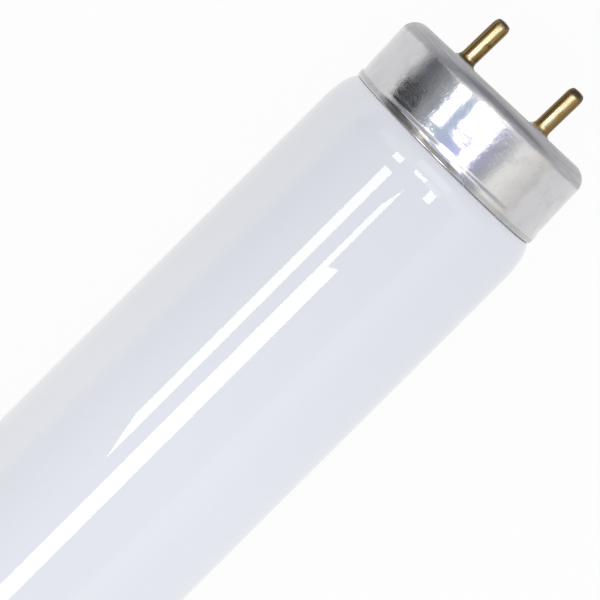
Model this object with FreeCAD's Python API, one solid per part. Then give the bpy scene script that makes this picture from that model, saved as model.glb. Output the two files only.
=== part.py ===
import FreeCAD, Part
import math
import os

# A straight fluorescent lamp: a sealed glass bulb with a two-pin cap cemented on each end.
# X runs along the lamp, the two pins of a cap lie side by side along Y, and the origin is
# the middle of the lamp. A depth is the distance inboard from the outer face of the cap, so
# what stands out of that face has a negative depth. Each end is drawn once, for the end at
# +X, and turned half a turn about Z for the end at -X.

# Whole lamp
FACE_TO_FACE = 580.0
TUBE_DIAMETER = 32.5
GLASS_WALL = 0.8

# Cap shell, drawn from thin sheet, with a round corner and a flared rim
CAP_STEP = 1.18
CAP_LENGTH = 10.7
CAP_WALL = 0.25
CAP_CORNER_RADIUS = 2.3
CAP_BEVEL = 1.45
RIM_LENGTH = 1.0
RIM_FLARE = 0.13

# Insulating disc behind the cap's face, with a boss around each pin
INSULATOR_THICKNESS = 1.5
INSULATOR_CLEARANCE = 0.05
BOSS_RADIUS = 1.7
BOSS_HEIGHT = 0.13
BOSS_CLEARANCE = 0.1

# Hollow contact pins, staked behind the disc on a narrower shank
PIN_SPACING = 12.7
PIN_DIAMETER = 2.35
PIN_LENGTH = 7.1
PIN_WALL = 0.4
PIN_SHANK_STEP = 0.2
PIN_TIP_BEVEL = 0.4
PIN_TIP_THICKNESS = 0.8
COLLAR_WIDTH = 0.22
COLLAR_HEIGHT = 0.27
STAKE_WIDTH = 0.4
STAKE_THICKNESS = 0.3

# Cement between the cap's wall and the neck of the bulb
CEMENT_THICKNESS = 0.45
CEMENT_LENGTH = 5.2
CEMENT_FROM_RIM = 1.1
CEMENT_CLEARANCE = 0.02

# Neck, shoulder and sealed end of the bulb
SHOULDER_LENGTH = 5.2
SHOULDER_TUCK = 0.2
NECK_GAP = 1.85
SEAL_THICKNESS = 1.2

# Stem of the bulb: a flare, a tube, a flat press and the tipped exhaust tube
STEM_DIAMETER = 10.6
STEM_WALL = 0.8
STEM_LENGTH = 26.0
FLARE_LENGTH = 9.4
PRESS_LENGTH = 9.0
PRESS_THICKNESS = 4.4
EXHAUST_DIAMETER = 3.8
EXHAUST_WALL = 0.6
EXHAUST_TIP_LENGTH = 2.6
EXHAUST_GAP = 1.25

# Lead wires from the press to the pins
WIRE_DIAMETER = 0.6
WIRE_SPACING = 5.8
WIRE_STRAIGHT = 2.0
WIRE_SPREAD_LENGTH = 5.5
WIRE_RECESS = 0.05

# Sizes and depths that follow from the values above
TUBE_RADIUS = TUBE_DIAMETER / 2
CAP_RADIUS = TUBE_RADIUS - CAP_STEP
CAP_BORE_RADIUS = CAP_RADIUS - CAP_WALL
INSULATOR_BACK = CAP_WALL + INSULATOR_THICKNESS
STAKE_BACK = INSULATOR_BACK + STAKE_THICKNESS
PIN_RADIUS = PIN_DIAMETER / 2
PIN_BORE_RADIUS = PIN_RADIUS - PIN_WALL
SHANK_RADIUS = PIN_RADIUS - PIN_SHANK_STEP
COLLAR_RADIUS = PIN_RADIUS + COLLAR_WIDTH
WIRE_RADIUS = WIRE_DIAMETER / 2
NECK_RADIUS = CAP_BORE_RADIUS - CEMENT_CLEARANCE - CEMENT_THICKNESS
NECK_BORE_RADIUS = NECK_RADIUS - GLASS_WALL
NECK_END = INSULATOR_BACK + NECK_GAP
SHOULDER_START = CAP_LENGTH - SHOULDER_TUCK
SHOULDER_END = SHOULDER_START + SHOULDER_LENGTH
STEM_RADIUS = STEM_DIAMETER / 2
STEM_BORE_RADIUS = STEM_RADIUS - STEM_WALL
FLARE_END = NECK_END + FLARE_LENGTH
PRESS_START = NECK_END + STEM_LENGTH
PRESS_END = PRESS_START + PRESS_LENGTH
EXHAUST_RADIUS = EXHAUST_DIAMETER / 2
EXHAUST_TIP = INSULATOR_BACK + EXHAUST_GAP

ORIGIN = FreeCAD.Vector(0, 0, 0)
ALONG = FreeCAD.Vector(1, 0, 0)
ACROSS = FreeCAD.Vector(0, 1, 0)
UP = FreeCAD.Vector(0, 0, 1)


def at(depth, radius):
    """The point of the +X end at this depth and this distance from the lamp's axis."""
    return FreeCAD.Vector(FACE_TO_FACE / 2 - depth, radius, 0)


def bend(start, corner, end):
    """A quarter of an ellipse, tangent at both ends to the two lines that meet at the corner."""
    if abs((start - corner).Length - (end - corner).Length) < 1e-9:
        centre = start + end - corner
        middle = centre + (corner - centre) * math.sqrt(0.5)
        return Part.Arc(start, middle, end).toShape()
    curve = Part.BezierCurve()
    curve.setPoles([start, corner, end])
    curve.setWeight(2, math.sqrt(0.5))
    return curve.toShape()


def turned(start, *steps):
    """A solid turned about X. A step is a point, reached by a line, or a corner and a point,
    reached by a bend."""
    edges = []
    here = start
    for step in (*steps, start):
        if isinstance(step, tuple):
            corner, there = step
            edges.append(bend(here, corner, there))
        else:
            there = step
            edges.append(Part.LineSegment(here, there).toShape())
        here = there
    return Part.Face(Part.Wire(edges)).revolve(ORIGIN, ALONG, 360)


def ring(start, end, inner_radius, outer_radius):
    """A plain ring between two depths."""
    return turned(at(start, inner_radius), at(start, outer_radius),
                  at(end, outer_radius), at(end, inner_radius))


def cap_form():
    """The outside of the cap, filled in."""
    return turned(
        at(0, 0),
        at(0, CAP_RADIUS - CAP_CORNER_RADIUS),
        (at(0, CAP_RADIUS), at(CAP_CORNER_RADIUS, CAP_RADIUS)),
        at(CAP_LENGTH - RIM_LENGTH, CAP_RADIUS),
        at(CAP_LENGTH, CAP_RADIUS + RIM_FLARE),
        at(CAP_LENGTH, 0),
    )


def cap_bore():
    """The space within the cap's sheet, bevelled behind the round corner."""
    return turned(
        at(CAP_WALL, 0),
        at(CAP_WALL, CAP_BORE_RADIUS - CAP_BEVEL),
        at(CAP_WALL + CAP_BEVEL, CAP_BORE_RADIUS),
        at(CAP_LENGTH - RIM_LENGTH, CAP_BORE_RADIUS),
        at(CAP_LENGTH, CAP_BORE_RADIUS + RIM_FLARE),
        at(CAP_LENGTH, 0),
    )


def beside(shape, side):
    """A shape drawn on the lamp's axis, moved to the pin on that side."""
    return shape.translated(ACROSS * (side * PIN_SPACING / 2))


def cap_shell():
    """A drawn cup with a hole in its face for each boss of the insulator."""
    shell = cap_form().cut(cap_bore())
    hole = Part.makeCylinder(BOSS_RADIUS + BOSS_CLEARANCE, 2 * CAP_WALL, at(1.5 * CAP_WALL, 0), ALONG)
    return shell.cut([beside(hole, side) for side in (-1, 1)])


def insulator():
    """A moulded disc with a boss around each pin hole."""
    disc_radius = CAP_BORE_RADIUS - CAP_BEVEL - INSULATOR_CLEARANCE
    disc = ring(CAP_WALL, INSULATOR_BACK, 0, disc_radius)
    boss = turned(at(INSULATOR_BACK, 0), at(INSULATOR_BACK, BOSS_RADIUS), at(0, BOSS_RADIUS),
                  at(-BOSS_HEIGHT, COLLAR_RADIUS), at(-BOSS_HEIGHT, 0))
    hole = ring(-BOSS_HEIGHT, INSULATOR_BACK, 0, SHANK_RADIUS)
    body = disc.fuse([beside(boss, side) for side in (-1, 1)])
    return body.cut([beside(hole, side) for side in (-1, 1)]).removeSplitter()


def pin():
    """A hollow pin with a collar on its boss, a staked foot behind the disc and a bevelled tip
    that closes on the lead wire."""
    return turned(
        at(STAKE_BACK, PIN_BORE_RADIUS),
        at(STAKE_BACK, SHANK_RADIUS + STAKE_WIDTH),
        at(INSULATOR_BACK, SHANK_RADIUS + STAKE_WIDTH),
        at(INSULATOR_BACK, SHANK_RADIUS),
        at(-BOSS_HEIGHT, SHANK_RADIUS),
        at(-BOSS_HEIGHT, COLLAR_RADIUS),
        at(-BOSS_HEIGHT - COLLAR_HEIGHT, PIN_RADIUS),
        at(PIN_TIP_BEVEL - PIN_LENGTH, PIN_RADIUS),
        at(-PIN_LENGTH, PIN_RADIUS - PIN_TIP_BEVEL),
        at(-PIN_LENGTH, WIRE_RADIUS),
        at(PIN_TIP_THICKNESS - PIN_LENGTH, WIRE_RADIUS),
        at(PIN_TIP_THICKNESS - PIN_LENGTH, PIN_BORE_RADIUS),
    )


def cement():
    """The band of cement that fills the cap around the neck."""
    end = CAP_LENGTH - CEMENT_FROM_RIM
    return ring(end - CEMENT_LENGTH, end, NECK_RADIUS, CAP_BORE_RADIUS - CEMENT_CLEARANCE)


def lead_wire():
    """A wire from the press, spread outwards to its pin and run up to the pin's tip."""
    inner = WIRE_SPACING / 2
    outer = PIN_SPACING / 2
    foot = at(PRESS_START, inner)
    spread_end = STAKE_BACK + WIRE_STRAIGHT
    path = Part.makePolygon([
        foot,
        at(spread_end + WIRE_SPREAD_LENGTH, inner),
        at(spread_end, outer),
        at(WIRE_RECESS - PIN_LENGTH, outer),
    ])
    section = Part.Wire(Part.makeCircle(WIRE_RADIUS, foot, ALONG))
    mitred = 1
    return path.makePipeShell([section], True, True, mitred)


def bulb_form():
    """The outside of half the bulb, with the open hollow of its stem around the exhaust tube."""
    return turned(
        at(EXHAUST_TIP, 0),
        at(EXHAUST_TIP + EXHAUST_TIP_LENGTH, EXHAUST_RADIUS),
        at(PRESS_START, EXHAUST_RADIUS),
        at(PRESS_START, STEM_BORE_RADIUS),
        at(FLARE_END, STEM_BORE_RADIUS),
        at(NECK_END, NECK_BORE_RADIUS),
        at(NECK_END + GLASS_WALL, NECK_RADIUS),
        at(SHOULDER_START, NECK_RADIUS),
        (at(SHOULDER_START, TUBE_RADIUS), at(SHOULDER_END, TUBE_RADIUS)),
        at(FACE_TO_FACE / 2, TUBE_RADIUS),
        at(FACE_TO_FACE / 2, 0),
    )


def bulb_void():
    """The sealed space inside half the bulb, up the exhaust tube and around the stem and press."""
    bore_radius = EXHAUST_RADIUS - EXHAUST_WALL
    bore_tip = EXHAUST_TIP + EXHAUST_TIP_LENGTH * EXHAUST_WALL / EXHAUST_RADIUS
    barrel_bore_radius = TUBE_RADIUS - GLASS_WALL
    void = turned(
        at(bore_tip, 0),
        at(EXHAUST_TIP + EXHAUST_TIP_LENGTH, bore_radius),
        at(PRESS_END, bore_radius),
        at(PRESS_END, STEM_RADIUS),
        at(FLARE_END, STEM_RADIUS),
        at(NECK_END + SEAL_THICKNESS, NECK_BORE_RADIUS),
        at(SHOULDER_START + GLASS_WALL, NECK_BORE_RADIUS),
        at(SHOULDER_END, barrel_bore_radius),
        at(FACE_TO_FACE / 2, barrel_bore_radius),
        at(FACE_TO_FACE / 2, 0),
    )
    press_blank = ring(PRESS_START + STEM_WALL, PRESS_END, 0, STEM_RADIUS)
    slab_corner = at(PRESS_END, -STEM_RADIUS) - UP * (PRESS_THICKNESS / 2)
    slab = Part.makeBox(PRESS_LENGTH, STEM_DIAMETER, PRESS_THICKNESS, slab_corner)
    return void.fuse(press_blank.cut(slab))


def turned_round(shape):
    """A shape of the +X end, turned half a turn about Z to the -X end."""
    return shape.rotated(ORIGIN, UP, 180)


def both_ends(shape):
    """Half the bulb or half its void, joined to the same half turned round."""
    return shape.fuse(turned_round(shape)).removeSplitter()


def glass_tube():
    """The whole bulb, with its void sealed inside."""
    return both_ends(bulb_form()).cut(both_ends(bulb_void()))


def end_pieces():
    """The pieces of one capped end. Seen from above with that end up the page, +Y is its left."""
    return {
        "cap_shell": cap_shell(),
        "insulator": insulator(),
        "cement": cement(),
        "left_pin": beside(pin(), 1),
        "right_pin": beside(pin(), -1),
        "left_lead_wire": lead_wire(),
        "right_lead_wire": lead_wire().rotated(ORIGIN, ALONG, 180),
    }


def lamp():
    """Every piece of the lamp by name."""
    pieces = {"glass_tube": glass_tube()}
    for name, shape in end_pieces().items():
        pieces["near_" + name] = shape
        pieces["far_" + name] = turned_round(shape)
    return pieces


os.makedirs("parts", exist_ok=True)
for node, shape in lamp().items():
    (solid,) = shape.Solids
    solid.exportStep(f"parts/{node}.step")
    print(node, "volume", round(solid.Volume, 1), "valid", solid.isValid())
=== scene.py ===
import math

import bmesh
import bpy
from mathutils import Euler, Matrix, Vector

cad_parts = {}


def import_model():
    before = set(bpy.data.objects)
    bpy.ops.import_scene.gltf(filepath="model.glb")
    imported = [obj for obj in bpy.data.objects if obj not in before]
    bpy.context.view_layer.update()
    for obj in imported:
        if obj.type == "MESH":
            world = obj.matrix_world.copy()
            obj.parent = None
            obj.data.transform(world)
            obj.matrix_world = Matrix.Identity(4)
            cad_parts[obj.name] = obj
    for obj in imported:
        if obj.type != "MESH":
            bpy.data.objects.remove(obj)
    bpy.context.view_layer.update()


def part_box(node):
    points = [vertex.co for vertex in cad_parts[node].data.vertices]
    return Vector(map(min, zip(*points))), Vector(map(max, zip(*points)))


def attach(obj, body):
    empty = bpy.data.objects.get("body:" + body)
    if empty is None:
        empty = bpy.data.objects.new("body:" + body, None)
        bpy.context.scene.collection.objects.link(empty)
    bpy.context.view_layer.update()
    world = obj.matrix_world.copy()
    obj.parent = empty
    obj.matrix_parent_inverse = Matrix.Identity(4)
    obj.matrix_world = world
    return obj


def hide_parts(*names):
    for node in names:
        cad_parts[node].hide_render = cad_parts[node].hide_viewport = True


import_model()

# The looks of a straight fluorescent lamp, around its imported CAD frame. X runs along the lamp,
# +X is the near end, the pins of an end lie side by side along Y, and the lamp rests on the
# floor at z = -TUBE_RADIUS. Lengths are in metres.

MM = 0.001

# Sizes read from the frame
CAP_LOW, CAP_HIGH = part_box("near_cap_shell")
PIN_LOW, PIN_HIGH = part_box("near_left_pin")
DISC_LOW, DISC_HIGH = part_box("near_insulator")
CEMENT_LOW, CEMENT_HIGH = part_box("near_cement")
GLASS_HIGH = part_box("glass_tube")[1]
FACE_X = CAP_HIGH.x
RIM_X = CAP_LOW.x
TUBE_RADIUS = GLASS_HIGH.z
NECK_END_X = GLASS_HIGH.x
PIN_Y = (PIN_LOW.y + PIN_HIGH.y) / 2
PIN_END_X = PIN_HIGH.x
DISC_RADIUS = DISC_HIGH.z
DISC_BACK_X = DISC_LOW.x
WIRE_START_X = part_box("near_left_lead_wire")[0].x

# Forms finer than the CAD's, as the real lamp has them. The waist, flare and crest are placed by
# their distance from the cap's rim
CAP_RADIUS = 15.07 * MM
CAP_WALL = 0.2 * MM
CAP_CORNER = 2.3 * MM
WAIST_DEPTH = 0.06 * MM
WAIST_START = 2.7 * MM
FLARE_START = 1.55 * MM
CREST = 0.8 * MM
RIM_FLARE = 0.13 * MM
RIM_ROLL = 0.05 * MM
RIM_EDGE = 0.08 * MM
SHOULDER_LENGTH = 5.2 * MM
SHOULDER_TUCK = 0.2 * MM
NECK_RADIUS = 14.35 * MM
NECK_BEVEL = 0.8 * MM
BOSS_RADIUS = 1.7 * MM
BOSS_CLEARANCE = 0.1 * MM
BOSS_HEIGHT = 0.13 * MM
PIN_RADIUS = 1.175 * MM
PIN_BORE = 0.775 * MM
PIN_SHANK = 0.975 * MM
PIN_TIP = 0.53 * MM
PIN_TIP_LENGTH = 1.1 * MM
PIN_TIP_DOME = 0.06 * MM
PIN_TIP_THICKNESS = 0.8 * MM
COLLAR_WIDTH = 0.38 * MM
COLLAR_HEIGHT = 0.75 * MM
COLLAR_RADIUS = PIN_RADIUS + COLLAR_WIDTH
STAKE_WIDTH = 0.4 * MM
STAKE_THICKNESS = 0.3 * MM
STAKE_RADIUS = PIN_SHANK + STAKE_WIDTH
WIRE_RADIUS = 0.3 * MM
WIRE_RECESS = 0.05 * MM
WIRE_FOOT_Y = 2.9 * MM
WIRE_SPREAD_START_X = FACE_X - 9.55 * MM
WIRE_SPREAD_END_X = FACE_X - 4.05 * MM
WIRE_SOFTNESS = 1.2 * MM
DENT_DEPTH = 0.06 * MM
DENT_HEIGHT = 3.3 * MM
DENT_SIZE = 0.45 * MM
DENT_ANGLE = math.radians(38)

# How finely round forms are cut
SEGMENTS = 256
PIN_SEGMENTS = 96
WIRE_SEGMENTS = 16
WIRE_STEPS = 72

# The near cap sits a little askew: its face is turned and nods down, and its pins lean back
CAP_YAW = math.radians(2.0)
CAP_PITCH = math.radians(2.1)
PIN_LEAN = math.radians(-1.2)
ASKEW_LAG = 0.8 * MM
ASKEW_RUN = 4.0 * MM

# Wear, finish, painted shade and a painted dark reflection. Each pair is the two distances between
# which a mark comes in or fades out
GREYED_LENGTH = 60 * MM
MATTE_FROM_RIM = (4.0 * MM, 5.0 * MM)
RUBBED_SPOT = (FACE_X - 3.6 * MM, -0.8 * MM, 14.9 * MM)
RUBBED_REACH = (1.9 * MM, 2.4 * MM)
# Painted shade: a dark line around the cap's wall just short of the rim, darkest towards one side, for
# the seam's shade and the flare's dark reflection
RIM_SHADE_LOW_EDGE = (0.1 * MM, 0.2 * MM)
RIM_SHADE_HIGH_EDGE = (0.9 * MM, 0.7 * MM)
RIM_SHADE_Y = 3.5 * MM
RIM_SHADE_REACH = (4.5 * MM, 8.0 * MM)
# A painted dark reflection at the pins' tips, and the pins darker towards their foot
DARK_REFLECTION_FROM_TIP = (0.8 * MM, 0.5 * MM)
DARKER_FROM_FACE = (0.45 * MM, 0.3 * MM)

# Camera: far off and nearly straight above, with the near end tipped towards it
CAMERA_DISTANCE = 1.0
CAMERA_REACH = 100
CAMERA_TILT = math.radians(4.1)
VIEW_WIDTH = 75.57 * MM
VIEW_FROM_FACE = 36.1 * MM
VIEW_ASIDE = 0.16 * MM
VIEW_TARGET = Vector((FACE_X - VIEW_FROM_FACE, VIEW_ASIDE, 0))
VIEW_BACK = Vector((math.sin(CAMERA_TILT), 0, math.cos(CAMERA_TILT)))
CAMERA_PLACE = VIEW_TARGET + VIEW_BACK * CAMERA_DISTANCE

# The studio around the lamp
FLOOR_RADIUS = 6.0
FLOOR_WHITENESS = 0.94
TENT_RADIUS = 5.5
TENT_STRENGTH = 1.2
LAMP_HEIGHT = 60 * MM
LAMP_STRENGTH = 7.0
CARD_Y = 40 * MM


# Mesh helpers


def quarter(start, corner, end, steps):
    """Points along a quarter of an ellipse between two lines that meet at the corner."""
    points = []
    for i in range(1, steps + 1):
        turn = math.pi / 2 * i / steps
        across = 1 - math.cos(turn)
        along = math.sin(turn)
        points.append(tuple(
            s + (c - s) * along + (e - c) * across for s, c, e in zip(start, corner, end)
        ))
    return points


def run(start, end, steps):
    """Points along a straight line, without its start."""
    return [
        tuple(s + (e - s) * i / steps for s, e in zip(start, end))
        for i in range(1, steps + 1)
    ]


def step(value, start, end):
    """A soft step from 0 at the start to 1 at the end."""
    share = min(1, max(0, (value - start) / (end - start)))
    return (1 - math.cos(math.pi * share)) / 2


def turned(profile, segments=SEGMENTS, closed=False):
    """A mesh turned about X from points (x, radius). A closed profile makes a ring."""
    bm = bmesh.new()
    angles = [2 * math.pi * i / segments for i in range(segments)]
    rings = []
    for x, radius in profile:
        if radius == 0:
            rings.append([bm.verts.new((x, 0, 0))])
        else:
            rings.append([
                bm.verts.new((x, radius * math.cos(a), radius * math.sin(a))) for a in angles
            ])
    pairs = list(zip(rings, rings[1:]))
    if closed:
        pairs.append((rings[-1], rings[0]))
    for one, two in pairs:
        for i in range(segments):
            j = (i + 1) % segments
            corners = [one[i % len(one)], one[j % len(one)], two[j % len(two)], two[i % len(two)]]
            bm.faces.new(list(dict.fromkeys(corners)))
    bmesh.ops.recalc_face_normals(bm, faces=bm.faces)
    return bm


def joined(*parts):
    """One mesh of several."""
    whole = parts[0]
    for part in parts[1:]:
        mesh = bpy.data.meshes.new("part")
        part.to_mesh(mesh)
        part.free()
        whole.from_mesh(mesh)
        bpy.data.meshes.remove(mesh)
    return whole


def put_in_scene(name, bm):
    """An object of a finished mesh, in the scene."""
    mesh = bpy.data.meshes.new(name)
    bm.to_mesh(mesh)
    bm.free()
    made = bpy.data.objects.new(name, mesh)
    bpy.context.scene.collection.objects.link(made)
    return made


def drilled(bm, radius):
    """The mesh with a round hole right through the face around each pin."""
    blank = put_in_scene("blank", bm)
    used = [blank]
    reach = 2 * (FACE_X - DISC_BACK_X)
    for across in (-PIN_Y, PIN_Y):
        drill = turned([
            (FACE_X - reach, 0), (FACE_X - reach, radius), (FACE_X + reach, radius), (FACE_X + reach, 0)
        ], PIN_SEGMENTS)
        drill.transform(Matrix.Translation((0, across, 0)))
        used.append(put_in_scene("drill", drill))
        hole = blank.modifiers.new("hole", "BOOLEAN")
        hole.object = used[-1]
    whole = bmesh.new()
    whole.from_object(blank, bpy.context.evaluated_depsgraph_get())
    for made in used:
        bpy.data.meshes.remove(made.data)
    return whole


def askew(place):
    """Where a point of the near end goes with the cap, all the way from a few mm past the rim."""
    share = min(1, max(0, (place.x - RIM_X + ASKEW_LAG) / ASKEW_RUN))
    share *= share * (3 - 2 * share)
    middle = Vector((RIM_X, 0, 0))
    return middle + Euler((0, share * CAP_PITCH, share * CAP_YAW)).to_matrix() @ (place - middle)


def settled(bm, end, least_radius=0):
    """The mesh at its end, with the near one's outer part askew."""
    if end == "near":
        for vertex in bm.verts:
            if math.hypot(vertex.co.y, vertex.co.z) >= least_radius:
                vertex.co = askew(vertex.co)
    else:
        bm.transform(Matrix.Rotation(math.pi, 4, "Z"))
    return bm


def beside(side):
    """How far a pin lies from the axis."""
    return PIN_Y if side == "left" else -PIN_Y


def leaning(side):
    """The near pins' own lean, about where the pin's axis meets the face."""
    foot = Vector((FACE_X, beside(side), 0))
    lean = Matrix.Rotation(PIN_LEAN, 4, "Z")
    return Matrix.Translation(askew(foot)) @ lean @ Matrix.Translation(-foot)


def piece(name, bm, material, node, sharp):
    """A finished piece that takes a CAD node's place, with edges sharp from that angle up."""
    made = put_in_scene(name, bm)
    for polygon in made.data.polygons:
        polygon.use_smooth = True
    made.data.set_sharp_from_angle(angle=math.radians(sharp))
    made.data.materials.append(material)
    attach(made, "root")
    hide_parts(node)


# Node helpers


class Nodes:
    """A short way to write a node tree."""

    def __init__(self, tree):
        self.tree = tree
        tree.nodes.clear()

    def add(self, kind, inputs=None, **values):
        """A node with values of its own and with inputs that are linked or set."""
        node = self.tree.nodes.new(kind)
        for name, value in values.items():
            setattr(node, name, value)
        for key, value in (inputs or {}).items():
            if isinstance(value, bpy.types.NodeSocket):
                self.tree.links.new(value, node.inputs[key])
            else:
                node.inputs[key].default_value = value
        return node

    def math(self, operation, *values):
        return self.add("ShaderNodeMath", dict(enumerate(values)), operation=operation).outputs[0]

    def chained(self, operation, values):
        """The operation on all the values, one after the other."""
        whole = values[0]
        for value in values[1:]:
            whole = self.math(operation, whole, value)
        return whole

    def product(self, *values):
        return self.chained("MULTIPLY", values)

    def total(self, *values):
        return self.chained("ADD", values)

    def apart(self, value, other):
        """How far two values are apart."""
        return self.math("ABSOLUTE", self.math("SUBTRACT", value, other))

    def parts(self, vector):
        """The x, y and z of a vector."""
        return self.add("ShaderNodeSeparateXYZ", {0: vector}).outputs

    def facing(self):
        """The surface's normal on the object."""
        return self.add("ShaderNodeTexCoord").outputs["Normal"]

    def ramp(self, value, stops):
        """A colour ramp from (position, colour) stops."""
        node = self.add("ShaderNodeValToRGB", {0: value})
        points = node.color_ramp.elements
        while len(points) < len(stops):
            points.new(1.0)
        for point, (position, colour) in zip(points, stops):
            point.position = position
            point.color = (*colour, 1.0)
        return node.outputs[0]

    def noise(self, vector, scale, detail=3.0, roughness=0.5):
        """A noise with about that many spots to a metre."""
        return self.add(
            "ShaderNodeTexNoise",
            {"Vector": vector, "Scale": scale, "Detail": detail, "Roughness": roughness},
        ).outputs[0]

    def mapped(self, vector, scale):
        """The vector scaled, which draws a noise out where the scale is small."""
        return self.add("ShaderNodeMapping", {"Vector": vector, "Scale": scale}).outputs[0]

    def range(self, value, low, high, to_low=0, to_high=1):
        """The value from low to high, spread over another range and held at its ends."""
        return self.add(
            "ShaderNodeMapRange",
            {"Value": value, 1: low, 2: high, 3: to_low, 4: to_high},
        ).outputs[0]

    def frayed(self, value, noise, reach):
        """The value shifted up or down by a noise, so that what it bounds has a ragged edge."""
        return self.math("ADD", value, self.range(noise, 0.3, 0.7, -reach, reach))

    def mix(self, factor, *colours):
        """A blend of two colours, each a socket or three numbers."""
        one, two = [c if isinstance(c, bpy.types.NodeSocket) else (*c, 1.0) for c in colours]
        return self.add(
            "ShaderNodeMix", {0: factor, 6: one, 7: two}, data_type="RGBA"
        ).outputs[2]

    def bump(self, height, strength, distance, normal=None):
        inputs = {"Height": height, "Strength": strength, "Distance": distance}
        if normal:
            inputs["Normal"] = normal
        return self.add("ShaderNodeBump", inputs).outputs[0]

    def seen(self):
        """1 for what is seen straight, in a reflection or through glass, and 0 for other rays."""
        rays = self.add("ShaderNodeLightPath").outputs
        seen = self.math("MAXIMUM", rays["Is Camera Ray"], rays["Is Glossy Ray"])
        return self.math("MAXIMUM", seen, rays["Is Transmission Ray"])


def blank_material(name):
    """A new material and its empty node tree."""
    made = bpy.data.materials.new(name)
    made.use_nodes = True
    return made, Nodes(made.node_tree)


def slot_look(name):
    """A new material for that slot, with its nodes, its shader and its coordinates on the object."""
    made, nodes = blank_material(name)
    made["slot"] = name
    shader = nodes.add("ShaderNodeBsdfPrincipled")
    nodes.add("ShaderNodeOutputMaterial", {"Surface": shader.outputs[0]})
    place = nodes.add("ShaderNodeTexCoord").outputs["Object"]
    return made, nodes, shader, place


def shade(nodes, shader, **links):
    """Links or sets the shader's sockets."""
    for name, value in links.items():
        socket = shader.inputs[name.replace("_", " ")]
        if isinstance(value, bpy.types.NodeSocket):
            nodes.tree.links.new(value, socket)
        else:
            socket.default_value = value


# Materials


def milky_glass():
    """Clear glossy glass over a milky coating, a little uneven and greyer near the caps."""
    made, nodes, shader, place = slot_look("milky_glass")
    clouds = nodes.noise(nodes.mapped(place, (0.4, 1, 1)), 60, 4)
    grain = nodes.noise(place, 1800, 2)
    smudges = nodes.noise(nodes.mapped(place, (1, 2.5, 2.5)), 90, 5)
    waves = nodes.noise(place, 130, 2)
    coat = nodes.mix(clouds, (0.868, 0.882, 0.94), (0.888, 0.902, 0.965))
    coat = nodes.mix(nodes.range(grain, 0.35, 0.75, 0, 0.1), coat, (0.78, 0.79, 0.83))
    along = nodes.math("ABSOLUTE", nodes.parts(place)[0])
    near_cap = nodes.range(along, FACE_X - GREYED_LENGTH, RIM_X, 0, 0.6)
    coat = nodes.mix(near_cap, coat, (0.75, 0.77, 0.82))
    rough = nodes.range(smudges, 0.5, 0.8, 0.02, 0.06)
    normal = nodes.bump(waves, 0.0007, 0.2 * MM)
    shade(nodes, shader, Base_Color=coat, Roughness=rough, Normal=normal, IOR=1.5)
    return made


def cap_metal():
    """Drawn aluminium: a half-bright wall with soft dents and rubbed patches, a dark line of painted
    shade and dark reflection around it just short of the rim, darkest towards one side, and a matte
    grey shoulder and face with draw lines round them and one spot rubbed bright."""
    made, nodes, shader, place = slot_look("cap_metal")
    draw_lines = nodes.noise(nodes.mapped(place, (30, 1, 1)), 140, 3)
    patches = nodes.noise(place, 420, 5, 0.65)
    dents = nodes.noise(place, 420, 3, 0.6)
    scuffs = nodes.noise(place, 3200, 3, 0.6)
    x, y, z = nodes.parts(place)
    along = nodes.math("ABSOLUTE", x)
    from_rim = nodes.math("SUBTRACT", along, RIM_X)
    ahead = nodes.math("ABSOLUTE", nodes.parts(nodes.facing())[0])
    spot = nodes.add("ShaderNodeCombineXYZ", {0: along, 1: y, 2: z}).outputs[0]
    spots = {0: spot, 1: RUBBED_SPOT}
    from_rubbed = nodes.add("ShaderNodeVectorMath", spots, operation="DISTANCE").outputs["Value"]
    matte = nodes.product(
        nodes.range(nodes.frayed(ahead, patches, 0.05), 0.05, 0.22),
        nodes.range(from_rim, *MATTE_FROM_RIM),
        nodes.range(nodes.frayed(from_rubbed, patches, 0.2 * MM), *RUBBED_REACH),
    )
    # Painted shade and dark reflection: a dark line just short of the rim, darkest towards one side
    rim_shade = nodes.product(
        nodes.range(from_rim, *RIM_SHADE_HIGH_EDGE),
        nodes.range(from_rim, *RIM_SHADE_LOW_EDGE),
        nodes.range(nodes.apart(y, RIM_SHADE_Y), *RIM_SHADE_REACH, 1, 0.3),
        nodes.range(patches, 0.35, 0.6, 0.75, 1),
    )
    bright_tone = nodes.mix(nodes.range(patches, 0.45, 0.75), (0.60, 0.60, 0.61), (0.54, 0.545, 0.57))
    matte_tone = nodes.mix(nodes.range(draw_lines, 0.3, 0.7), (0.34, 0.34, 0.35), (0.46, 0.46, 0.48))
    tone = nodes.mix(rim_shade, nodes.mix(matte, bright_tone, matte_tone), (0.15, 0.135, 0.11))
    rough = nodes.total(
        nodes.range(patches, 0.42, 0.72, 0.11, 0.23),
        nodes.product(matte, 0.24),
        nodes.product(rim_shade, 0.3),
    )
    normal = nodes.bump(dents, 0.018, 0.3 * MM)
    scuffed = nodes.product(scuffs, nodes.range(patches, 0.42, 0.58))
    normal = nodes.bump(scuffed, 0.25, 0.06 * MM, normal)
    normal = nodes.bump(draw_lines, 0.05, 0.1 * MM, normal)
    shade(nodes, shader, Base_Color=tone, Metallic=1.0, Roughness=rough, Normal=normal)
    return made


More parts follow.
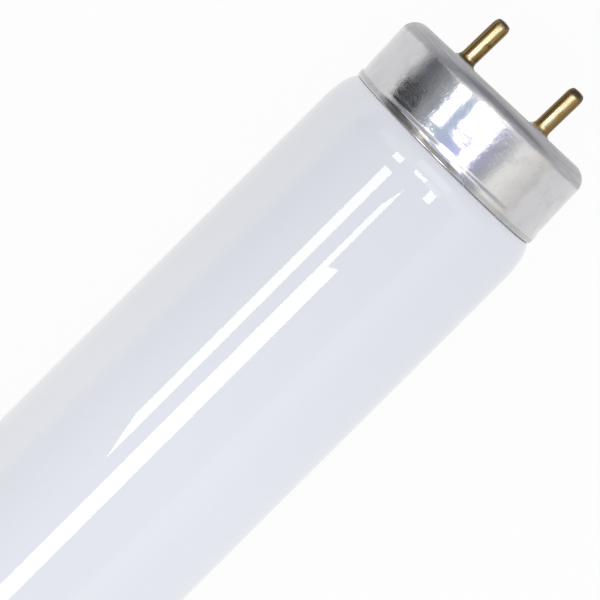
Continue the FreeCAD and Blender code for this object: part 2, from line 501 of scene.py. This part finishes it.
def pin_metal():
    """Brass with a painted highlight in a band along its top and underside and painted shade, brown to
    dark, down its sides; a painted dark reflection at its tip, and darker at its foot."""
    made, nodes, shader, place = slot_look("pin_metal")
    blotches = nodes.noise(nodes.mapped(place, (0.4, 1, 1)), 1300, 4, 0.6)
    streaks = nodes.noise(nodes.mapped(place, (0.04, 1, 1)), 3500, 2)
    aside = nodes.frayed(nodes.parts(nodes.facing())[1], blotches, 0.035)
    # Painted highlight and shade: bright brass where the surface faces up or down, brown to dark where
    # it faces aside
    tone = nodes.ramp(nodes.range(aside, -1, 1), [
        (0.0, (0.13, 0.09, 0.045)),
        (0.16, (0.21, 0.14, 0.05)),
        (0.31, (0.27, 0.175, 0.065)),
        (0.38, (0.57, 0.49, 0.31)),
        (0.62, (0.59, 0.49, 0.29)),
        (0.69, (0.36, 0.23, 0.08)),
        (0.80, (0.31, 0.21, 0.08)),
        (0.90, (0.17, 0.115, 0.05)),
        (1.0, (0.12, 0.08, 0.035)),
    ])
    tone = nodes.mix(nodes.range(streaks, 0.5, 0.7, 0, 0.4), tone, (0.42, 0.24, 0.09))
    along = nodes.frayed(nodes.math("ABSOLUTE", nodes.parts(place)[0]), blotches, 0.1 * MM)
    # Painted dark reflection at the tip, and darker towards the foot
    at_tip = nodes.range(nodes.math("SUBTRACT", PIN_END_X, along), *DARK_REFLECTION_FROM_TIP)
    at_foot = nodes.range(nodes.math("SUBTRACT", along, FACE_X), *DARKER_FROM_FACE, 0, 0.9)
    dark = nodes.math("MAXIMUM", at_tip, at_foot)
    tone = nodes.mix(dark, tone, (0.11, 0.085, 0.05))
    rough = nodes.total(nodes.range(blotches, 0.35, 0.7, 0.16, 0.26), nodes.product(dark, 0.15))
    normal = nodes.bump(streaks, 0.008, 0.1 * MM)
    shade(nodes, shader, Base_Color=tone, Metallic=1.0, Roughness=rough, Normal=normal)
    return made


def insulator_grey():
    """Moulded grey board, slightly glossy and pitted."""
    made, nodes, shader, place = slot_look("insulator")
    specks = nodes.noise(place, 2500, 4, 0.65)
    tone = nodes.mix(nodes.range(specks, 0.35, 0.7), (0.36, 0.36, 0.38), (0.24, 0.24, 0.26))
    rough = nodes.range(specks, 0.3, 0.7, 0.38, 0.6)
    shade(nodes, shader, Base_Color=tone, Roughness=rough, Normal=nodes.bump(specks, 0.2, 0.1 * MM))
    return made


def cement_buff():
    """Baked basing cement, chalky and grainy."""
    made, nodes, shader, place = slot_look("cement")
    grains = nodes.noise(place, 1600, 6, 0.7)
    tone = nodes.mix(nodes.range(grains, 0.3, 0.7), (0.62, 0.55, 0.44), (0.42, 0.36, 0.28))
    shade(nodes, shader, Base_Color=tone, Roughness=0.9, Normal=nodes.bump(grains, 0.6, 0.2 * MM))
    return made


def wire_metal():
    """Plain drawn wire, a little oxidised."""
    made, nodes, shader, place = slot_look("wire_metal")
    drawn = nodes.noise(nodes.mapped(place, (0.1, 1, 1)), 4000, 3)
    tone = nodes.mix(drawn, (0.55, 0.50, 0.45), (0.35, 0.31, 0.28))
    rough = nodes.range(drawn, 0, 1, 0.25, 0.45)
    shade(nodes, shader, Base_Color=tone, Metallic=1.0, Roughness=rough)
    return made


# Pieces


def glass_tube(material):
    """The outside of the whole bulb, with the neck under each cap."""
    shoulder_start = RIM_X + SHOULDER_TUCK
    shoulder_end = shoulder_start - SHOULDER_LENGTH
    neck_corner = (NECK_END_X, NECK_RADIUS)
    half = [(NECK_END_X, 0), (NECK_END_X, NECK_RADIUS - NECK_BEVEL)]
    half += quarter(half[-1], neck_corner, (NECK_END_X - NECK_BEVEL, NECK_RADIUS), steps=6)
    half += run(half[-1], (shoulder_start, NECK_RADIUS), steps=3)
    half += quarter(
        half[-1], (shoulder_start, TUBE_RADIUS), (shoulder_end, TUBE_RADIUS), steps=48
    )
    other = [(-x, radius) for x, radius in reversed(half)]
    profile = half + run(half[-1], other[0], steps=120) + other[1:]
    piece("glass", turned(profile), material, "glass_tube", sharp=60)


def cap_line(inset):
    """The cap's surface from its face to its rim, that far in from the outside."""
    face = FACE_X - inset
    radius = CAP_RADIUS - inset
    corner = CAP_CORNER - inset
    line = run((face, 0), (face, radius - corner), steps=24)
    line += quarter(line[-1], (face, radius), (face - corner, radius), steps=24)
    line += run(line[-1], (RIM_X + WAIST_START, radius), steps=20)
    for x, radius in run(line[-1], (RIM_X + RIM_EDGE, radius), steps=60):
        waist = WAIST_DEPTH * step(x, RIM_X + WAIST_START, RIM_X + FLARE_START)
        flare = (WAIST_DEPTH + RIM_FLARE) * step(x, RIM_X + FLARE_START, RIM_X + CREST)
        roll = RIM_ROLL * step(x, RIM_X + CREST, RIM_X + RIM_EDGE)
        line.append((x, radius - waist + flare - roll))
    return line


def cap_shell(end, material):
    """The thin cap with its rolled rim, and a hole for each boss."""
    outer = cap_line(0)
    inner = cap_line(CAP_WALL)
    high = outer[-1][1]
    low = inner[-1][1]
    lip = quarter(outer[-1], (RIM_X, high), (RIM_X, high - RIM_EDGE), steps=4)
    lip += quarter((RIM_X, low + RIM_EDGE), (RIM_X, low), inner[-1], steps=4)
    profile = [(FACE_X, 0)] + outer + lip + inner[-2::-1] + [(FACE_X - CAP_WALL, 0)]
    bm = settled(drilled(turned(profile), BOSS_RADIUS + BOSS_CLEARANCE), end)
    piece(f"{end}_cap", bm, material, f"{end}_cap_shell", sharp=30)


def insulator(end, material):
    """The disc behind the face, with a hollowed boss around each pin."""
    back = DISC_BACK_X
    front = FACE_X - CAP_WALL
    top = FACE_X + BOSS_HEIGHT
    plain = turned([(back, 0), (back, DISC_RADIUS), (front, DISC_RADIUS), (front, 0)])
    parts = [drilled(plain, BOSS_RADIUS)]
    profile = [(back, PIN_SHANK), (back, BOSS_RADIUS)]
    profile += run(profile[-1], (FACE_X, BOSS_RADIUS), steps=2)
    profile += quarter(profile[-1], (FACE_X, COLLAR_RADIUS), (top, COLLAR_RADIUS), steps=6)
    profile.append((top, PIN_SHANK))
    for across in (-PIN_Y, PIN_Y):
        boss = turned(profile, PIN_SEGMENTS, closed=True)
        boss.transform(Matrix.Translation((0, across, 0)))
        parts.append(boss)
    bm = settled(joined(*parts), end)
    piece(f"{end}_disc", bm, material, f"{end}_insulator", sharp=40)


def cement(end, material):
    """The band of cement between the neck and the cap."""
    outer = CAP_RADIUS - CAP_WALL
    line = [(CEMENT_LOW.x, outer)] + run((CEMENT_LOW.x, outer), (CEMENT_HIGH.x, outer), steps=8)
    profile = line + [(x, NECK_RADIUS) for x, _ in reversed(line)]
    bm = settled(turned(profile, closed=True), end, (NECK_RADIUS + outer) / 2)
    piece(f"{end}_cement_band", bm, material, f"{end}_cement", sharp=40)


def pin_profile():
    """A hollow pin on its own axis, from its staked foot to its round tip."""
    back = DISC_BACK_X
    foot = back - STAKE_THICKNESS
    boss = FACE_X + BOSS_HEIGHT
    tip = PIN_END_X - PIN_TIP_DOME
    profile = [(foot, PIN_BORE), (foot, STAKE_RADIUS), (back, STAKE_RADIUS), (back, PIN_SHANK)]
    profile += [(boss, PIN_SHANK), (boss, COLLAR_RADIUS)]
    profile += quarter(profile[-1], (boss, PIN_RADIUS), (boss + COLLAR_HEIGHT, PIN_RADIUS), steps=8)
    profile += run(profile[-1], (tip - PIN_TIP_LENGTH, PIN_RADIUS), steps=90)
    profile += quarter(profile[-1], (tip, PIN_RADIUS), (tip, PIN_RADIUS - PIN_TIP), steps=12)
    profile += [(PIN_END_X, WIRE_RADIUS), (tip - PIN_TIP_THICKNESS, WIRE_RADIUS)]
    profile += [(tip - PIN_TIP_THICKNESS, PIN_BORE)]
    return profile


def pin(end, side, material):
    """A pin with the shallow dent that crimps it on its wire."""
    bm = turned(pin_profile(), PIN_SEGMENTS, closed=True)
    dent = Vector((
        FACE_X + DENT_HEIGHT,
        -PIN_RADIUS * math.sin(DENT_ANGLE),
        PIN_RADIUS * math.cos(DENT_ANGLE),
    ))
    for vertex in bm.verts:
        near = math.exp(-((vertex.co - dent).length / DENT_SIZE) ** 2)
        vertex.co.yz *= 1 - DENT_DEPTH / PIN_RADIUS * near
    bm.transform(Matrix.Translation((0, beside(side), 0)))
    if end == "near":
        bm.transform(leaning(side))
    else:
        settled(bm, end)
    piece(f"{end}_{side}_contact", bm, material, f"{end}_{side}_pin", sharp=50)


def eased(past):
    """How far along a ramp that starts softly at zero."""
    return (past + math.hypot(past, WIRE_SOFTNESS)) / 2


def wire_course(side):
    """Points along a lead wire, from the press to the pin's tip, with its two bends eased."""
    across = beside(side)
    foot_y = math.copysign(WIRE_FOOT_Y, across)
    end_x = PIN_END_X - WIRE_RECESS
    points = []
    for i in range(WIRE_STEPS + 1):
        x = WIRE_START_X + (end_x - WIRE_START_X) * i / WIRE_STEPS
        spread = eased(x - WIRE_SPREAD_START_X) - eased(x - WIRE_SPREAD_END_X)
        share = spread / (WIRE_SPREAD_END_X - WIRE_SPREAD_START_X)
        points.append(Vector((x, foot_y + (across - foot_y) * share, 0)))
    return points


def lead_wire(end, side, material):
    """A round wire from the press up to the pin's tip."""
    course = wire_course(side)
    if end == "near":
        lean = leaning(side)
        course = [lean @ place if place.x > DISC_BACK_X else askew(place) for place in course]
    bm = bmesh.new()
    angles = [2 * math.pi * i / WIRE_SEGMENTS for i in range(WIRE_SEGMENTS)]
    rings = []
    for here, there in zip(course, course[1:] + [2 * course[-1] - course[-2]]):
        ahead = (there - here).normalized()
        aside = ahead.cross(Vector((0, 0, 1))).normalized()
        above = aside.cross(ahead)
        spokes = [math.cos(a) * aside + math.sin(a) * above for a in angles]
        rings.append([bm.verts.new(here + WIRE_RADIUS * spoke) for spoke in spokes])
    for one, two in zip(rings, rings[1:]):
        for i in range(WIRE_SEGMENTS):
            bm.faces.new([one[i], one[i - 1], two[i - 1], two[i]])
    bm.faces.new(rings[0])
    bm.faces.new(rings[-1])
    bmesh.ops.recalc_face_normals(bm, faces=bm.faces)
    if end == "far":
        settled(bm, end)
    piece(f"{end}_{side}_wire", bm, material, f"{end}_{side}_lead_wire", sharp=50)


# Stage, lamps and camera


def staged(name, bm, material):
    """An object that belongs to the studio and not to the lamp."""
    made = put_in_scene(name, bm)
    made.data.materials.append(material)
    return made


def see_only(made, *seen):
    """Switches off each kind of ray that isn't named as seen."""
    for kind in ("camera", "diffuse", "glossy", "transmission", "shadow", "volume_scatter"):
        setattr(made, "visible_" + kind, kind in seen)


def floor():
    """A pale floor under the lamp that keeps its shadow."""
    made, nodes = blank_material("floor")
    plain = nodes.add("ShaderNodeBsdfDiffuse", {0: (0.85, 0.85, 0.85, 1)})
    white = nodes.add("ShaderNodeEmission", {0: (1, 1, 1, 1), 1: 1.0})
    share = nodes.product(nodes.seen(), FLOOR_WHITENESS)
    mixed = nodes.add("ShaderNodeMixShader", {0: share, 1: plain.outputs[0], 2: white.outputs[0]})
    nodes.add("ShaderNodeOutputMaterial", {0: mixed.outputs[0]})
    bm = bmesh.new()
    bmesh.ops.create_circle(bm, cap_ends=True, segments=64, radius=FLOOR_RADIUS)
    bm.transform(Matrix.Translation((0, 0, -TUBE_RADIUS)))
    staged("floor", bm, made)


def world():
    """Soft light from all round, and a white background."""
    made = bpy.data.worlds.new("studio")
    bpy.context.scene.world = made
    made.use_nodes = True
    nodes = Nodes(made.node_tree)
    direction = nodes.parts(nodes.add("ShaderNodeTexCoord").outputs["Generated"])
    light = nodes.mix(nodes.range(direction[1], -0.7, 0.7), (0.97, 0.98, 1.0), (0.86, 0.865, 0.86))
    strength = nodes.range(direction[2], 0, 1, 0.86, 1.04)
    soft = nodes.add("ShaderNodeBackground", {0: light, 1: strength})
    white = nodes.add("ShaderNodeBackground", {0: (1, 1, 1, 1), 1: 1.0})
    mixed = nodes.add(
        "ShaderNodeMixShader", {0: nodes.seen(), 1: soft.outputs[0], 2: white.outputs[0]}
    )
    nodes.add("ShaderNodeOutputWorld", {0: mixed.outputs[0]})


def glow(name, strength):
    """A plain white light-giving material."""
    made, nodes = blank_material(name)
    light = nodes.add("ShaderNodeEmission", {0: (1, 1, 1, 1), 1: strength})
    nodes.add("ShaderNodeOutputMaterial", {0: light.outputs[0]})
    return made


def tent():
    """A light tent over the lamp, in bands along it that its metal reflects, by the angle in
    degrees that each is at from straight above, and darker towards the tent's ends."""
    made, nodes = blank_material("tent")
    place = nodes.add("ShaderNodeTexCoord").outputs["Object"]
    parts = nodes.parts(place)
    angle = nodes.math("DEGREES", nodes.math("ARCTAN2", nodes.product(parts[1], -1), parts[2]))
    bands = [
        (-90, (0.66, 0.65, 0.64)),
        (-82, (0.38, 0.38, 0.39)),
        (-75, (0.12, 0.125, 0.14)),
        (-65, (0.18, 0.18, 0.20)),
        (-53, (0.30, 0.31, 0.32)),
        (-44, (0.36, 0.38, 0.40)),
        (-20, (0.55, 0.64, 0.80)),
        (6, (0.54, 0.58, 0.92)),
        (25, (0.48, 0.50, 0.68)),
        (33, (0.46, 0.46, 0.54)),
        (41, (0.56, 0.56, 0.58)),
        (49, (0.98, 0.96, 0.93)),
        (57, (1.0, 0.99, 0.95)),
        (70, (0.86, 0.83, 0.80)),
        (90, (0.72, 0.70, 0.68)),
    ]
    stops = [((degrees + 90) / 180, colour) for degrees, colour in bands]
    light = nodes.ramp(nodes.range(angle, -90, 90), stops)
    direction = nodes.add("ShaderNodeVectorMath", {0: place}, operation="NORMALIZE").outputs[0]
    lengthwise = nodes.math("ABSOLUTE", nodes.parts(direction)[0])
    light = nodes.mix(nodes.range(lengthwise, 0.35, 0.6), light, (0.44, 0.44, 0.47))
    light = nodes.mix(nodes.range(lengthwise, 0.6, 0.8), light, (0.27, 0.27, 0.29))
    lit = nodes.add("ShaderNodeEmission", {0: light, 1: TENT_STRENGTH})
    nodes.add("ShaderNodeOutputMaterial", {0: lit.outputs[0]})
    bm = bmesh.new()
    bmesh.ops.create_uvsphere(bm, u_segments=64, v_segments=32, radius=TENT_RADIUS)
    below = [vertex for vertex in bm.verts if vertex.co.z < -10 * MM]
    bmesh.ops.delete(bm, geom=below, context="VERTS")
    see_only(staged("tent", bm, made), "glossy")


def camera():
    """The photograph's view: the lamp runs up to the right at 45 degrees."""
    up = Vector((1, 1, 0)).normalized()
    up = (up - VIEW_BACK * up.dot(VIEW_BACK)).normalized()
    right = up.cross(VIEW_BACK)
    turn = Matrix((right, up, VIEW_BACK)).transposed().to_4x4()
    data = bpy.data.cameras.new("camera")
    data.angle = 2 * math.atan(VIEW_WIDTH / 2 / CAMERA_DISTANCE)
    data.clip_end = CAMERA_REACH
    made = bpy.data.objects.new("camera", data)
    made.matrix_world = Matrix.Translation(CAMERA_PLACE) @ turn
    bpy.context.scene.collection.objects.link(made)
    bpy.context.scene.camera = made


def bounced(along, across):
    """Where the camera's ray through that place in the picture, in mm from the cap's face and
    from the axis, goes on to at the lamps' height, once the barrel has mirrored it."""
    ahead = Vector((VIEW_BACK.z, 0, -VIEW_BACK.x))
    aim = Vector((VIEW_TARGET.x, -across * MM, 0)) + (VIEW_FROM_FACE - along * MM) * ahead
    ray = (aim - CAMERA_PLACE).normalized()
    # The ray meets the barrel at the distance t for which a t^2 + 2 b t + c is zero
    a = ray.y ** 2 + ray.z ** 2
    b = CAMERA_PLACE.y * ray.y + CAMERA_PLACE.z * ray.z
    c = CAMERA_PLACE.y ** 2 + CAMERA_PLACE.z ** 2 - TUBE_RADIUS ** 2
    meets = CAMERA_PLACE - (b + math.sqrt(b * b - a * c)) / a * ray
    normal = Vector((0, meets.y, meets.z)).normalized()
    ray -= 2 * ray.dot(normal) * normal
    return meets + ray * ((LAMP_HEIGHT - meets.z) / ray.z)


def flat(name, corners, material, *seen):
    """A flat sheet in the studio that only the named kinds of ray see."""
    bm = bmesh.new()
    bm.faces.new([bm.verts.new(corner) for corner in corners])
    see_only(staged(name, bm, material), *seen)


def strip_lamp(name, outline, material):
    """A flat lamp with the outline that the glass shows, in mm from the cap's face and axis."""
    corners = [bounced(along, across) for along, across in outline]
    flat(name, corners, material, "glossy", "transmission")


def end_lamp(name, near, far, left, right, material):
    """A flat oblong lamp over an end, by its sides in mm from the cap's face and from the axis."""
    sides = [(near, left), (near, right), (far, right), (far, left)]
    corners = [(FACE_X + x * MM, y * MM, LAMP_HEIGHT) for x, y in sides]
    flat(name, corners, material, "glossy", "transmission")


def dark_card(material):
    """A black card beside the near cap, which its wall shows as a dark band."""
    sides = [(-14, 13.3), (-7.2, 13.3), (-7.2, 38), (-14, 38)]
    corners = [(FACE_X + x * MM, CARD_Y, z * MM) for x, z in sides]
    flat("dark_card", corners, material, "glossy")


def lamps():
    """The lamps over the near end, which glass and metal show as bright shapes, and the card."""
    white = glow("lamp", LAMP_STRENGTH)
    strip_lamp("lamp_left", [(16.1, -4.62), (16.1, -3.31), (67.5, -3.31), (60.8, -4.62)], white)
    strip_lamp("lamp_right", [
        (16.7, -0.70), (30.6, -0.70), (30.0, 0.62), (560, 0.62), (560, -1.47), (20.4, -1.47)
    ], white)
    end_lamp("lamp_left_end", -6.9, 1.5, 35.5, 23.5, white)
    end_lamp("lamp_middle_end", -3.5, 1.5, 9.8, -3.4, white)
    end_lamp("lamp_right_end", -15.5, -4, -10.8, -18.6, white)
    end_lamp("lamp_dim_end", -3.8, 1.5, -3.5, -21.5, glow("dim_lamp", 2.2))
    end_lamp("lamp_soft_end", 1.6, 7.5, 60, -45, glow("soft_lamp", 1.25))
    end_lamp("lamp_rim_left", 7.6, 26, 95, 14, glow("rim_lamp_left", 0.95))
    end_lamp("lamp_rim_middle", 7.6, 27, 14, -27, glow("rim_lamp_middle", 2.2))
    end_lamp("lamp_rim_right", 7.6, 26, -27, -110, glow("rim_lamp_right", 1.1))
    dark_card(glow("black", 0.045))


glass_look = milky_glass()
cap_look = cap_metal()
pin_look = pin_metal()
boss_look = insulator_grey()
cement_look = cement_buff()
wire_look = wire_metal()

glass_tube(glass_look)
for end in ("near", "far"):
    cap_shell(end, cap_look)
    insulator(end, boss_look)
    cement(end, cement_look)
    for side in ("left", "right"):
        pin(end, side, pin_look)
        lead_wire(end, side, wire_look)

floor()
world()
tent()
lamps()
camera()
bpy.context.scene.view_settings.view_transform = "Standard"
